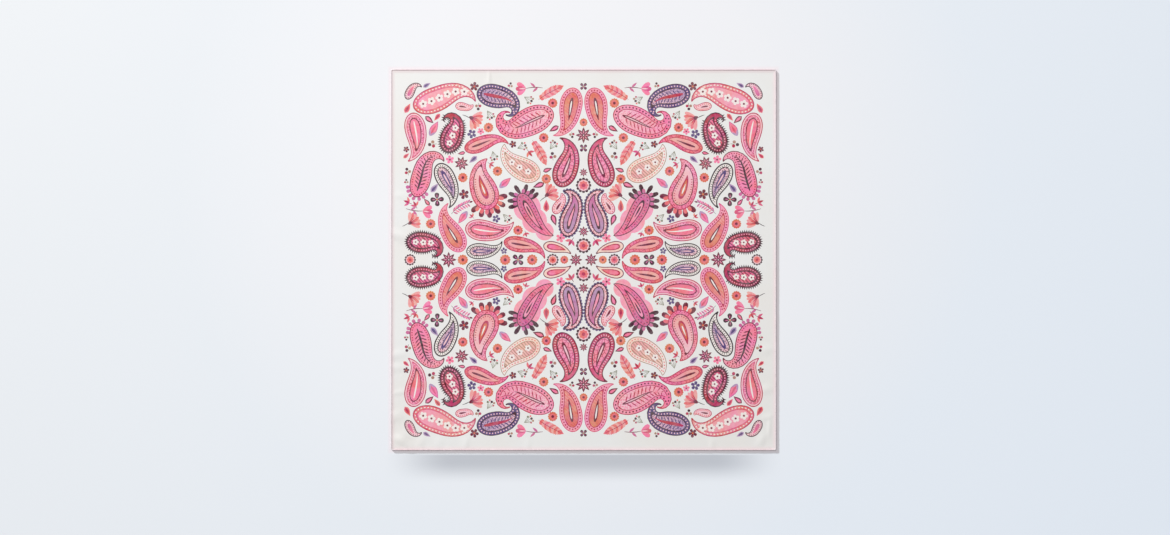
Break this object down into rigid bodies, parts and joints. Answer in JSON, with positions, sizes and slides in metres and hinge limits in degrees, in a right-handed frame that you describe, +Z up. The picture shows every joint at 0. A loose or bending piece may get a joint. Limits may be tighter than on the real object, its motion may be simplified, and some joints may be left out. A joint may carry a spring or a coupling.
{
  "type": "square silk scarf laid flat",
  "caption": "Square silk twill scarf with a scattered paisley print and thin hand-rolled hems, laid out flat with a few soft ripples at its edges.",
  "frame": {"origin": "middle of the underside, on the surface that the scarf lies on", "axes": "+X towards the scarf's right edge and +Y towards its top edge as shown, +Z up out of the printed face"},
  "size_m": [0.9, 0.89, 0.0042],
  "materials": {
    "printed_silk": "fine silk twill with a soft sheen, off-white ground printed with pink, coral, crimson, plum and lavender paisleys and flowers",
    "hem_silk": "dusty pink silk twill, rolled and slip-stitched"
  },
  "bodies": {
    "root": {"scarf_panel": "printed_silk", "hem_top": "hem_silk", "hem_right": "hem_silk", "hem_bottom": "hem_silk", "hem_left": "hem_silk"}
  },
  "joints": []
}
